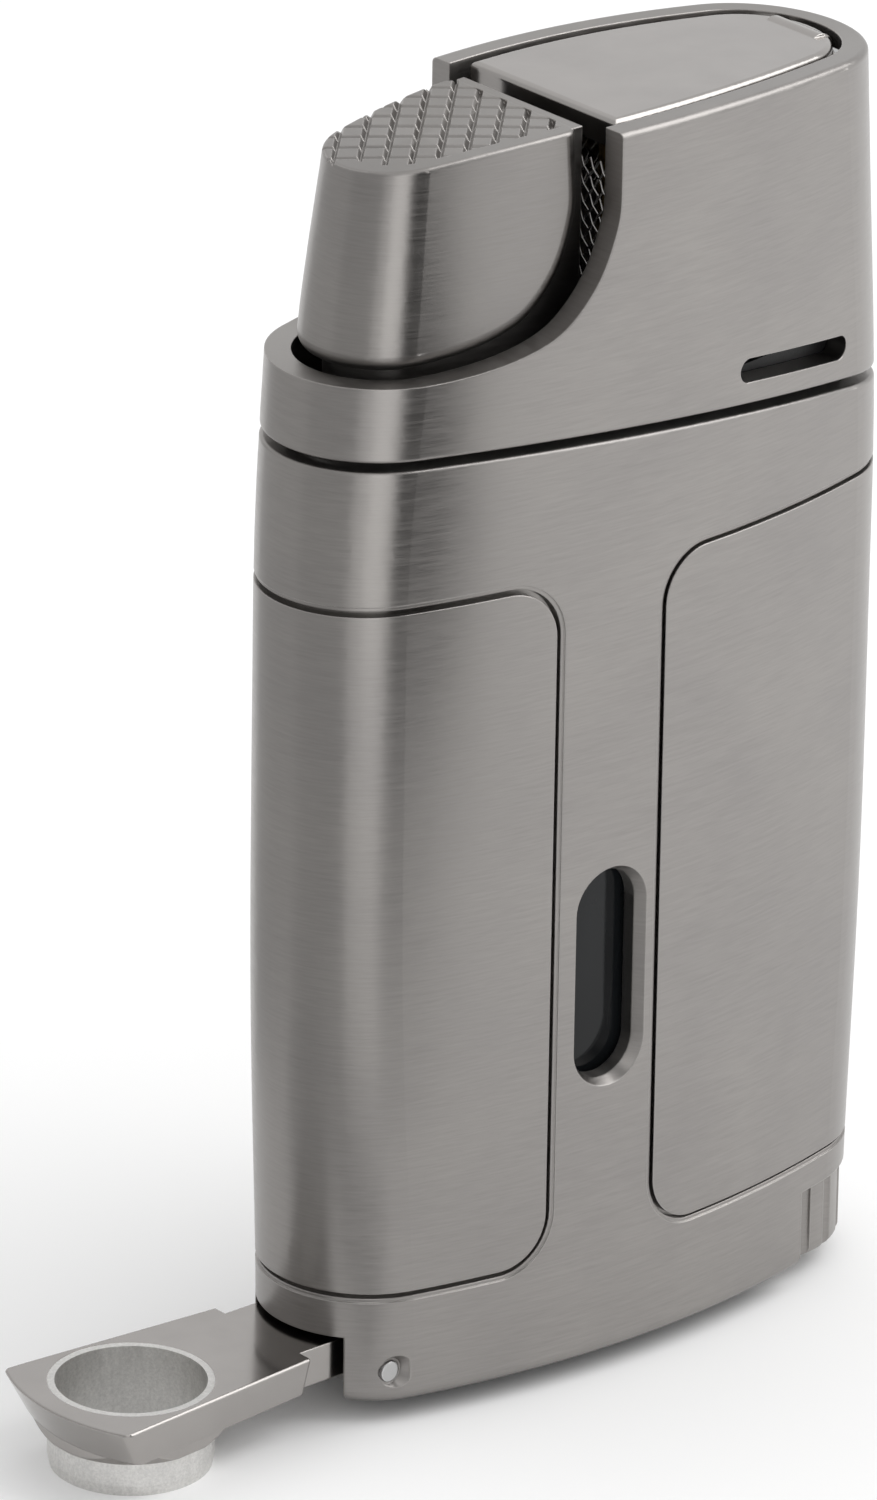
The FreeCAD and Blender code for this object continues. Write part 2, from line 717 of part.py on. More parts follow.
def lid_plate():
    """Arched lid whose right end turns on a cross pin in the head."""
    plate = envelope(dim("lid_inset")).common(under_curve(crown_height, 60.0))
    plate = plate.common(over_curve(lambda x: crown_height(x) - dim("lid_thick"), 80.0))
    plate = plate.cut(box(-25.0, dim("lid_left"), -9.0, 9.0, 60.0, 80.0))
    rim = edges_where(plate, lambda bound: bound.ZMin > 69.2 and bound.ZMax - bound.ZMin < 1.0)
    plate = plate.makeFillet(0.38, rim)
    axis_x, axis_z = dim("lid_axis_x"), dim("lid_axis_z")
    knuckle = rod_y(axis_x, axis_z, dim("lid_knuckle"), -1.9, 1.9)
    plate = plate.fuse(knuckle)
    plate = plate.cut(rod_y(axis_x, axis_z, dim("lid_pin") + dim("run_gap"), -9.0, 9.0))
    keep_shape(plate.Solids[0], "lid_plate")


def mesh_screen():
    """Wind screen that lines the flame chamber on three sides."""
    left, low, high = dim("lid_left") - 0.5, dim("mesh_low"), dim("mesh_high")
    thick = dim("mesh_thick")
    shell = envelope(dim("head_wall") + 0.1).common(box(left, 12.0, -9.0, 9.0, low, high))
    inner = envelope(dim("head_wall") + 0.1 + thick)
    shell = shell.cut(inner.common(box(left + thick, 13.0, -9.0, 9.0, 0.0, 80.0)))
    shell = shell.cut(box(left - 1.0, left + 1.0, 3.3, 4.2, 61.2, 67.5))
    hole = dim("mesh_hole")
    tools = []
    for row in range(4):
        for column in range(6):
            y = -5.0 + 2.0 * column + (1.0 if row % 2 else 0.0)
            z = 57.2 + 3.2 * row
            if abs(y) < 5.2 and not 2.2 < y < 5.2:
                tools.append(box(left - 1.0, left + 1.0, y - hole, y + hole, z - hole, z + hole))
    for tool in tools:
        tool.rotate(Vector(0, tool.BoundBox.Center.y, tool.BoundBox.Center.z), Vector(1, 0, 0), 45.0)
        shell = shell.cut(tool)
    keep_shape(shell.Solids[0], "mesh_screen")


def burner_block():
    """Cast block that carries the jets above the gas valve."""
    low, high = dim("burner_low"), dim("burner_high")
    block = prism(16.6, 5.0, low, high).cut(box(-25.0, -1.5, -9.0, 9.0, 40.0, 80.0))
    for x in (dim("jet_left"), dim("jet_right")):
        block = block.cut(rod_z(x, 0, dim("jet_radius") + 0.02, 56.0, high + 1.0))
    block = block.cut(rod_z(dim("pipe_x"), 0, dim("pipe_radius") + 0.02, low - 1.0, low + 2.0))
    block = block.cut(rod_z(dim("spark_x"), 0, 0.27, high - 2.1, high + 1.0))
    for side in (-1, 1):
        block = block.cut(rod_z(1.2, side * 3.4, 0.52, high - 3.0, high + 1.0))
    keep_shape(block.Solids[0], "burner_block")


def burner_cover():
    """Plate over the burner block, with a hole for each jet."""
    low = dim("burner_high")
    high = low + 0.8
    plate = prism(16.8, 5.7, low, high).cut(box(-25.0, -2.3, -9.0, 9.0, 40.0, 80.0))
    for x in (dim("jet_left"), dim("jet_right")):
        plate = plate.cut(rod_z(x, 0, dim("jet_radius") + 0.15, 50.0, 70.0))
    plate = plate.cut(rod_z(dim("spark_x"), 0, 0.32, 50.0, 70.0))
    for side in (-1, 1):
        plate = plate.cut(rod_z(1.2, side * 3.4, 0.55, 50.0, 70.0))
    keep_shape(plate.Solids[0], "burner_cover")


def jet_nozzles():
    """Two brass jets, each with a stepped flame tube."""
    solids = []
    low, high, radius = 56.0, dim("jet_high"), dim("jet_radius")
    for x in (dim("jet_left"), dim("jet_right")):
        jet = rod_z(x, 0, radius, low, high)
        jet = jet.cut(rod_z(x, 0, radius - 0.55, high - 2.2, high + 1.0))
        jet = jet.cut(rod_z(x, 0, 0.6, low - 1.0, high))
        for turn in range(4):
            angle = math.radians(45.0 + 90.0 * turn)
            way = Vector(math.cos(angle), math.sin(angle), 0)
            port = Part.makeCylinder(0.4, 3.0, Vector(x, 0, high - 1.2), way)
            jet = jet.cut(port)
        solids.append(jet.Solids[0])
    keep_shape(Part.makeCompound(solids), "jet_nozzles")


def spark_electrode():
    """Wire that rises from the cover and hooks over between the jets."""
    x, radius = dim("spark_x"), 0.25
    low, high = dim("burner_high") - 2.0, dim("jet_high") + 0.6
    bend = 0.8
    path = Part.Wire([
        line(at(x, low), at(x, high - bend)),
        arc(at(x, high - bend), at(x - bend * (1 - math.sqrt(0.5)), high - bend * (1 - math.sqrt(0.5))),
            at(x - bend, high)),
        line(at(x - bend, high), at(x - bend - 0.9, high)),
    ])
    profile = Part.Wire(Part.makeCircle(radius, at(x, low), Vector(0, 0, 1)))
    wire = path.makePipeShell([profile], True, True)
    keep_shape(wire.Solids[0] if wire.Solids else Part.makeSolid(wire), "spark_electrode")


def side_plate(points, front, back):
    """Plate in the XZ plane from corner points, between two depths."""
    edges = []
    for index, point in enumerate(points):
        after = points[(index + 1) % len(points)]
        edges.append(line(Vector(point[0], front, point[1]), Vector(after[0], front, after[1])))
    return Part.Face(Part.Wire(edges)).extrude(Vector(0, back - front, 0))


def lifter_bracket():
    """Ear on the burner cover that carries the lid lifter's pivot."""
    base = dim("burner_high") + 0.8
    x, z = dim("lifter_x"), dim("lifter_z")
    ear = side_plate(((x - 1.2, base), (x + 1.2, base), (x + 0.9, z), (x - 0.9, z)), 2.9, 3.4)
    ear = ear.fuse(rod_y(x, z, 0.9, 2.9, 3.4))
    foot = box(x - 1.2, x + 1.2, 2.1, 3.4, base, base + 0.4)
    bracket = ear.fuse(foot).removeSplitter().cut(rod_y(x, z, 0.42, 2.0, 4.0))
    keep_shape(bracket.Solids[0], "lifter_bracket")


def lid_lifter():
    """Rocker: the trigger pushes its long arm, the short arm lifts the lid."""
    x, z = dim("lifter_x"), dim("lifter_z")
    reach = dim("lifter_reach")
    arm = side_plate(((x - reach, z - 0.5), (x, z - 0.7), (x, z + 0.7), (x - reach, z + 0.4)), 3.5, 4.0)
    short = side_plate(((x, z - 0.7), (x + 2.9, z + 0.9), (x + 3.3, z + 1.9), (x + 2.4, z + 1.9),
                        (x - 0.4, z + 0.7)), 3.5, 4.0)
    hub = rod_y(x, z, 0.95, 3.5, 4.0)
    rocker = arm.fuse([short, hub]).removeSplitter()
    rocker = rocker.cut(rod_y(x, z, 0.42 + dim("run_gap"), 3.0, 5.0))
    keep_shape(rocker.Solids[0], "lid_lifter")


def pin_y(label, x, z, radius, front, back):
    """Plain cross pin as a parametric cylinder laid along Y."""
    pin = doc.addObject("Part::Cylinder", "pin_" + label)
    pin.setExpression("Radius", radius)
    pin.Height = back - front
    pin.Placement = Placement(Vector(x, front, z), Rotation(Vector(1, 0, 0), -90.0))
    keep(pin, label)


def trigger_spring():
    """Compression coil under the piezo plunger."""
    coil("trigger_spring", dim("piezo_x"), 0, dim("spring_low"), dim("plunger_low"), 1.25, 0.22, 6.0)


def coil(label, x, y, low, high, radius, wire, turns):
    """Closed round-wire coil between two levels."""
    rise = high - low - 2 * wire
    helix = Part.makeHelix(rise / turns, rise, radius)
    profile = Part.Wire(Part.makeCircle(wire, Vector(radius, 0, 0), Vector(0, 1, 0)))
    sweep = Part.Wire(helix).makePipeShell([profile], True, True)
    sweep.translate(Vector(x, y, low + wire))
    keep_shape(sweep.Solids[0] if sweep.Solids else Part.makeSolid(sweep), label)


def piezo_unit():
    """Piezo striker: moulded body with a sliding plunger."""
    x = "dims.piezo_x"
    body = new_body("piezo_body")
    sketch = new_sketch(body, "XY_Plane", "dims.chassis_floor")
    add_polygon(sketch, box_points(x + " - 4.3", x + " + 4.3", -2.9, 2.9))
    pad(body, sketch, "dims.piezo_high - dims.chassis_floor")
    sketch = new_sketch(body, "XY_Plane", "dims.piezo_high")
    add_polygon(sketch, box_points(x + " - 3.25", x + " + 3.25", -1.95, 1.95))
    pocket(body, sketch, "dims.piezo_high - dims.spring_low")

    plunger = new_body("piezo_plunger")
    sketch = new_sketch(plunger, "XY_Plane", "dims.plunger_low")
    add_polygon(sketch, box_points(x + " - 3.2", x + " + 3.2", -1.9, 1.9))
    pad(plunger, sketch, "dims.plunger_high - dims.plunger_low")


# ---------------------------------------------------------------- gas path


def fuel_tank():
    wall, low, high = dim("tank_wall"), dim("tank_low"), dim("tank_high")
    width, depth = 17.6, 6.0
    floor = low + 2.0
    tank = prism(width, depth, low, high).cut(prism(width - wall, depth - wall, floor, high + 1.0))
    tank = tank.cut(rod_z(dim("filler_x"), 0, dim("filler_radius") + 0.02, 0.0, 12.0))
    tank = tank.cut(rod_z(dim("wheel_x"), 0, 1.0 + dim("run_gap"), 0.0, 12.0))
    for side in (-1, 1):
        tank = tank.cut(rod_z(dim("filler_x"), side * dim("screw_y"), 0.72, 0.0, low + 1.2))
    keep_shape(tank.Solids[0], "fuel_tank")


def tank_cover():
    wall, high = dim("tank_wall"), dim("tank_high")
    width, depth = 17.6, 6.0
    seal = prism(width, depth, high, high + 0.2).cut(prism(width - wall, depth - wall, high - 1, high + 1))
    keep_shape(seal.Solids[0], "tank_seal")
    cap = prism(width, depth, high + 0.2, dim("cap_high"))
    cap = cap.fuse(prism(width - wall - 0.1, depth - wall - 0.1, high - 1.0, high + 0.3)).removeSplitter()
    cap = cap.cut(rod_z(dim("valve_x"), 0, 1.92, 20.0, 50.0))
    keep_shape(cap.Solids[0], "tank_cap")


def inner_chassis():
    """Moulded tray over the tank; holds the piezo, valve and levers."""
    low, high = dim("cap_high") + 0.1, dim("chassis_high")
    tray = prism(17.9, 6.25, low, high).cut(prism(16.4, 4.9, dim("chassis_floor"), high + 1.0))
    tray = tray.cut(rod_z(dim("valve_x"), 0, 1.92, 20.0, 50.0))
    tray = tray.cut(rod_y(dim("lever_x"), dim("lever_z"), 0.52, -5.3, 5.3))
    keep_shape(tray.Solids[0], "inner_chassis")


def collar():
    """Dark ring that bridges the gap between case and head."""
    low, high = dim("chassis_high"), dim("collar_high")
    ring = prism(17.95, 6.3, low, high).cut(prism(16.85, 5.2, low - 1.0, high + 1.0))
    keep_shape(ring.Solids[0], "collar")


def turned_part(label, x, profile):
    """Turned piece on a vertical axis from half-section points (radius, z)."""
    body = new_body(label)
    sketch = new_sketch(body, "XZ_Plane", 0.0)
    add_polygon(sketch, [("dims.%s + %s" % (x, radius), z) for radius, z in profile])
    feature = body.newObject("PartDesign::Revolution", "turn")
    feature.Profile = sketch
    axis_sketch = body.newObject("Sketcher::SketchObject", "axis")
    axis_sketch.AttachmentSupport = [(origin_plane(body, "XZ_Plane"), "")]
    axis_sketch.MapMode = "FlatFace"
    edge = axis_sketch.addGeometry(Part.LineSegment(Vector(dim(x), 0, 0), Vector(dim(x), 20, 0)))
    index = axis_sketch.addConstraint(Sketcher.Constraint("DistanceX", -1, 1, edge, 1, dim(x)))
    bind(axis_sketch, index, "dims." + x)
    axis_sketch.addConstraint(Sketcher.Constraint("Vertical", edge))
    feature.ReferenceAxis = (axis_sketch, ["Edge1"])
    feature.Angle = 360.0
    body.Tip = feature
    doc.recompute()
    return body


def gas_valve():
    turned_part("gas_valve_body", "valve_x", (
        (0.0, 32.5), (1.2, 32.5), (1.2, 33.0), (1.9, 33.0), (1.9, 46.0), (0.6, 46.0), (0.6, 43.0), (0.0, 43.0)))
    turned_part("valve_stem", "valve_x", (
        (0.0, 43.4), (0.55, 43.4), (0.55, 49.6), (1.1, 49.6), (1.1, 50.3), (0.0, 50.3)))


def valve_lever():
    """Bent lever: its left end meets the trigger, its fork lifts the stem."""
    x, z = dim("lever_x"), dim("lever_z")
    lever = side_plate(((x - 0.9, z - 0.6), (x + 6.6, z - 0.35), (x + 6.6, z + 0.35), (x + 0.6, z + 0.8),
                        (x - 4.2, z + 3.7), (x - 5.3, z + 3.7), (x - 5.3, z + 3.1)), -1.5, 1.5)
    lever = lever.fuse(rod_y(x, z, 0.95, -1.5, 1.5)).removeSplitter()
    lever = lever.cut(rod_y(x, z, 0.5 + dim("run_gap"), -3.0, 3.0))
    lever = lever.cut(box(dim("valve_x") - 1.1, dim("valve_x") + 9.0, -0.8, 0.8, z - 5, z + 5))
    keep_shape(lever.Solids[0], "valve_lever")


def gas_pipe():
    """Bent pipe from the valve's side port up to the burner block."""
    start, bend, radius = dim("valve_x") + 1.92, 1.6, dim("pipe_radius")
    x, low, high = dim("pipe_x"), 44.8, dim("burner_low") + 1.8
    slant = bend * (1 - math.sqrt(0.5))
    path = Part.Wire([
        line(at(start, low), at(x - bend, low)),
        arc(at(x - bend, low), at(x - slant, low + slant), at(x, low + bend)),
        line(at(x, low + bend), at(x, high)),
    ])
    profile = Part.Wire(Part.makeCircle(radius, at(start, low), Vector(1, 0, 0)))
    pipe = path.makePipeShell([profile], True, True)
    keep_shape(pipe.Solids[0] if pipe.Solids else Part.makeSolid(pipe), "gas_pipe")


def fill_valve():
    low = 0.9
    turned_part("fill_valve_body", "filler_x", (
        (0.9, low), (1.5, low), (1.5, 9.8), (0.56, 9.8), (0.56, 9.3), (1.05, 9.3), (1.05, 5.0),
        (0.56, 5.0), (0.56, 2.9), (0.9, 2.9)))
    turned_part("fill_valve_stem", "filler_x", (
        (0.0, 2.95), (0.5, 2.95), (0.5, 5.45), (0.98, 5.45), (0.98, 5.9), (0.5, 5.9), (0.5, 9.1), (0.0, 9.1)))
    ring = Part.makeTorus(0.76, 0.2, Vector(dim("filler_x"), 0, 5.22))
    keep_shape(ring.Solids[0], "fill_valve_seal")
    coil("fill_valve_spring", dim("filler_x"), 0, 5.92, 9.28, 0.78, 0.2, 4.0)


# ---------------------------------------------------------------- punch


def punch_arm():
    """Flat arm with a bowed tip, a boss for the tube and a hinge knuckle."""
    low, high = dim("arm_low"), dim("arm_top")
    axis_x, axis_z = dim("punch_axis_x"), dim("punch_axis_z")
    side_draft = dim("arm_side_draft")
    foot = arm_outline(-side_draft, tip_draft=dim("arm_tip_draft") - side_draft)
    foot.translate(Vector(0, 0, low))
    face = arm_outline(0.0)
    face.translate(Vector(0, 0, high))
    arm = Part.makeLoft([foot, face], True, True)
    corners = edges_where(arm, lambda bound: bound.ZMax - bound.ZMin > 1.5 and bound.XMax < -30.0)
    arm = arm.makeFillet(dim("arm_corner"), corners)
    top = edges_where(arm, lambda bound: bound.ZMin > high - 0.01 and bound.XMin < dim("arm_shoulder_x") - 0.5)
    arm = arm.makeChamfer(0.1, top)
    boss_high, flare = low + 0.6, 1.05
    boss = Part.makeCone(dim("arm_boss"), dim("arm_boss") + flare, boss_high - dim("boss_low"),
                         Vector(dim("punch_center"), 0, dim("boss_low")))
    outline = arm_outline(-side_draft - 0.02, tip_draft=dim("arm_tip_draft") - side_draft)
    boss = boss.common(Part.Face(outline).extrude(Vector(0, 0, boss_high)))
    neck = box(dim("arm_shoulder_x") - 0.6, axis_x, -dim("neck_half"), dim("neck_half"), low, high)
    knuckle_side = dim("neck_half")
    knuckle = rod_y(axis_x, axis_z, dim("knuckle_radius"), -knuckle_side, knuckle_side)
    arm = arm.fuse([boss, neck, knuckle]).removeSplitter()
    arm = arm.cut(rod_z(dim("punch_center"), 0, dim("punch_outer"), -3.0, 8.0))
    arm = arm.cut(rod_y(axis_x, axis_z, dim("punch_pin") + dim("run_gap"), -9.0, 9.0))
    keep_shape(arm.Solids[0], "punch_arm")


def punch_cutter():
    """Steel tube with a sharpened lower edge."""
    x, low, high = dim("punch_center"), dim("punch_low"), dim("arm_top")
    outer, wall = dim("punch_outer"), dim("punch_wall")
    tube = rod_z(x, 0, outer, low, high)
    tube = tube.cut(rod_z(x, 0, outer - wall, low - 1.0, high + 1.0))
    edge_cone = Part.makeCone(outer - 0.12, outer, 0.6, Vector(x, 0, low))
    skin = rod_z(x, 0, outer + 1.0, low, low + 0.6).cut(edge_cone)
    tube = tube.cut(skin)
    keep_shape(tube.Solids[0], "punch_cutter")


# ---------------------------------------------------------------- flame wheel and screws


def flame_wheel():
    """Fluted thumb wheel under the right end of the base."""
    body = new_body("flame_wheel")
    sketch = new_sketch(body, "XY_Plane", "dims.wheel_low")
    add_circle(sketch, 0.0, 0.0, "dims.wheel_radius")
    disc = pad(body, sketch, "dims.wheel_high - dims.wheel_low")
    edge_round = body.newObject("PartDesign::Fillet", "edge_round")
    low_edges = []
    for index, edge in enumerate(disc.Shape.Edges, start=1):
        if edge.BoundBox.ZMax < dim("wheel_low") + 0.01:
            low_edges.append("Edge%d" % index)
    edge_round.Base = (disc, low_edges)
    edge_round.Radius = 0.45
    doc.recompute()
    dish = new_sketch(body, "XY_Plane", "dims.wheel_low")
    add_circle(dish, 0.0, 0.0, 3.7)
    pocket(body, dish, 0.6, flip=True)
    flute = new_sketch(body, "XY_Plane", 0.0)
    add_circle(flute, "dims.wheel_radius + 0.12", 0.0, 0.42)
    groove = pocket(body, flute, 8.0, flip=True)
    pattern = body.newObject("PartDesign::PolarPattern", "flutes")
    pattern.Originals = [groove]
    pattern.Axis = (flute, ["N_Axis"])
    pattern.Angle = 360.0
    pattern.setExpression("Occurrences", "dims.wheel_flutes")
    body.Tip = pattern
    turn = 180.0 / dim("wheel_flutes")
    body.Placement = Placement(Vector(dim("wheel_x"), 0, 0), Rotation(Vector(0, 0, 1), turn))
    doc.recompute()


def adjust_spindle():
    body = new_body("adjust_spindle")
    sketch = new_sketch(body, "XY_Plane", "dims.wheel_high")
    add_circle(sketch, "dims.wheel_x", 0.0, 1.0)
    pad(body, sketch, 7.5)


def screw(x, y, low, head_radius, shank_radius, length, up=1.0):
    """Countersunk screw with a slot; the head is at the low end."""
    depth = head_radius - shank_radius
    solid = Part.makeCone(head_radius, shank_radius, depth, Vector(x, y, low), Vector(0, 0, up))
    shank = Part.makeCylinder(shank_radius, length, Vector(x, y, low), Vector(0, 0, up))
    solid = solid.fuse(shank).removeSplitter()
    slot = Part.makeBox(2 * head_radius + 1, 0.32, 0.5, Vector(x - head_radius - 0.5, y - 0.16, low - 0.25))
    return solid.cut(slot).Solids[0]


def screws():
    base = [screw(dim("filler_x"), side * dim("screw_y"), 0.75, 1.15, 0.7, 7.3) for side in (-1, 1)]
    keep_shape(Part.makeCompound(base), "base_screws")
    top = dim("burner_high") + 0.8
    cover = []
    for side in (-1, 1):
        head = Part.makeCylinder(0.95, 0.45, Vector(1.2, side * 3.4, top))
        shank = Part.makeCylinder(0.5, 3.2, Vector(1.2, side * 3.4, top - 3.2))
        piece = head.fuse(shank).removeSplitter()
        piece = piece.cut(Part.makeBox(2.4, 0.25, 0.4, Vector(0.0, side * 3.4 - 0.125, top + 0.25)))
        cover.append(piece.Solids[0])
    keep_shape(Part.makeCompound(cover), "cover_screws")


lid_plate()
mesh_screen()
burner_block()
burner_cover()
jet_nozzles()
spark_electrode()
lifter_bracket()
lid_lifter()
pin_y("lid_hinge_pin", dim("lid_axis_x"), dim("lid_axis_z"), "dims.lid_pin", -4.1, 4.1)
pin_y("lifter_pin", dim("lifter_x"), dim("lifter_z"), "0.42 mm", 2.85, 4.15)
piezo_unit()
trigger_spring()
fuel_tank()
tank_cover()
inner_chassis()
collar()
gas_valve()
valve_lever()
pin_y("valve_lever_pin", dim("lever_x"), dim("lever_z"), "0.5 mm", -5.3, 5.3)
gas_pipe()
fill_valve()
punch_arm()
punch_cutter()
pin_y("punch_pin", dim("punch_axis_x"), dim("punch_axis_z"), "dims.punch_pin", -5.3, 5.3)
flame_wheel()
adjust_spindle()
screws()


def set_origin():
    """Move every sub-part so that z = 0 is the lowest point, centred on the whole."""
    shift_x = -0.5 * (dim("arm_tip") + max(half_width for _, half_width in WIDTH_STATIONS))
    shift = Vector(shift_x, 0, -dim("punch_low"))
    for item in subparts:
        item.Placement = Placement(shift, Rotation()).multiply(item.Placement)


def check_and_write():
    """Stop on any failed object, then write one file per sub-part."""
    doc.recompute()
    for item in doc.Objects:
        if "Invalid" in item.State or "Error" in item.State:
            raise RuntimeError("failed: " + item.Label)
    os.makedirs("parts", exist_ok=True)
    for item in subparts:
        shape = item.Shape
        if shape.isNull() or not shape.isValid():
            raise RuntimeError("bad shape: " + item.Label)
        shape.exportStep("parts/%s.step" % item.Label)
        print("%-24s solids %d volume %.2f" % (item.Label, len(shape.Solids), shape.Volume))


set_origin()
check_and_write()
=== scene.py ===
import json
import math

import bpy
from mathutils import Matrix, Vector


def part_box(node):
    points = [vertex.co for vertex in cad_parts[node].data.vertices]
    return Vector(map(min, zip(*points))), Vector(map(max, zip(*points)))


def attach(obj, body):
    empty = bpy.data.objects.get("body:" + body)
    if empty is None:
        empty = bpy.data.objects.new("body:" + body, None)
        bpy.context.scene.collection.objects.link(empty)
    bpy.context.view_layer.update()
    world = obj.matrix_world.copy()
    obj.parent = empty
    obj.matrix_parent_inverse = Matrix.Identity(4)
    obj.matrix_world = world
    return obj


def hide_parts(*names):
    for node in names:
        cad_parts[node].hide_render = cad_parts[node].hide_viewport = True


# Looks of a pocket torch lighter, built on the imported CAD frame.
# Metres, in the row frame: +Z up, +X towards the flame end, -Y is the photographed face.

MM = 0.001

# ---------------------------------------------------------------- camera and light

CAMERA_AZIMUTH = -40.641
CAMERA_ELEVATION = 22.945
CAMERA_ROLL = 0.016
CAMERA_DISTANCE = 637.15 * MM
CAMERA_TARGET = Vector((-1.084, 0.0, 35.719)) * MM
CAMERA_LENS = 286.5
SENSOR_WIDTH = 36.0
CAMERA_CLIP = (0.01, 20.0)

WORLD_LIGHT = 0.92
FLOOR_SIZE = 4.0
FLOOR_LOW = (0.91, 0.91, 0.91)
FLOOR_HIGH = (0.93, 0.93, 0.93)

KEY_AZIMUTH = 60.0
KEY_ELEVATION = 45.0
KEY_DISTANCE = 0.75
KEY_SIZE = 0.6
KEY_POWER = 2.6

# Upright glowing cards stand on an arc round the case's left front corner:
# name, azimuths of their two ends, foot and top heights in mm, tones at foot and top.
REFLECTION_CENTER = Vector((-9.0, -4.7, 0.0)) * MM
CARD_DISTANCE = 35.0 * MM
CARD_STEPS = 16
CARDS = (
    ("card_left", -58.0, -115.0, 6.0, 120.0, 0.56, 0.58),
    ("card_far_left", -115.0, -178.0, 6.0, 120.0, 0.62, 0.72),
    ("card_front", -20.0, 14.0, 6.0, 30.0, 0.66, 0.52),
    ("card_front_high", -12.0, 20.0, 30.0, 95.0, 0.10, 0.02),
    ("card_strip_high", -42.0, -17.0, 30.0, 95.0, 1.5, 1.7),
)

# A flat card lies just over the table, in a bow round the arm: inner and outer corners in mm.
FLOOR_CARD_INNER = ((-14.0, -10.5), (-29.0, -10.5), (-33.5, 0.0), (-32.0, 11.0))
FLOOR_CARD_OUTER = ((-14.0, -30.0), (-42.0, -30.0), (-54.0, 0.0), (-50.0, 26.0))
FLOOR_CARD_LIFT = 0.4
FLOOR_CARD_TONE = 0.45

# ---------------------------------------------------------------- wind screen

# Millimetres about the middle of the case's foot, which ROW_SHIFT takes to the row frame.
ROW_SHIFT = Vector((7.725, 0.0, 1.15))
FACE_RADIUS = 57.0
HALF_DEPTH = 7.8
SCREEN_LEFT = -2.75
SCREEN_RIGHT = 12.0
SCREEN_INSET = 1.77
WIRE_PITCH = 0.78
CROSSING_ACROSS = 0.5 * WIRE_PITCH
CROSSING_UP = 0.65 * WIRE_PITCH
WIRE_RADIUS = 0.075
WIRE_SIDES = 5
WIRE_WEAVE = 0.07

# Opening that the lid's lifter passes through.
LIFTER_Y = 3.75
LIFTER_HALF_WIDTH = 0.6
LIFTER_LOW = 61.6
LIFTER_HIGH = 67.6

# ---------------------------------------------------------------- materials

GUNMETAL = (0.300, 0.286, 0.275)
BRIGHT_STEEL = (0.80, 0.79, 0.77)
PLAIN_STEEL = (0.50, 0.50, 0.50)
BRASS = (0.60, 0.43, 0.18)
CAST_ZINC = (0.36, 0.36, 0.37)
BLACK = (0.012, 0.012, 0.013)
SMOKE = (0.008, 0.009, 0.010)
SCREEN_STEEL = (0.42, 0.41, 0.40)

# Most of a noise's values lie between these.
NOISE_LOW = 0.3
NOISE_HIGH = 0.7

# A face gets the painted edge highlight from how little its normal agrees with the rounded one.
EDGE_HIGHLIGHT_BELOW = 0.80
OPEN_ABOVE = 0.995
BEVEL_SAMPLES = 6

# Sockets of a colour Mix node, which shares its names between kinds of value.
MIX_FACTOR = 0
MIX_FIRST = 6
MIX_SECOND = 7
MIX_RESULT = 2


def direction(azimuth, elevation):
    """Unit vector from the object towards an azimuth and elevation, in degrees."""
    a, e = math.radians(azimuth), math.radians(elevation)
    return Vector((math.sin(a) * math.cos(e), -math.cos(a) * math.cos(e), math.sin(e)))


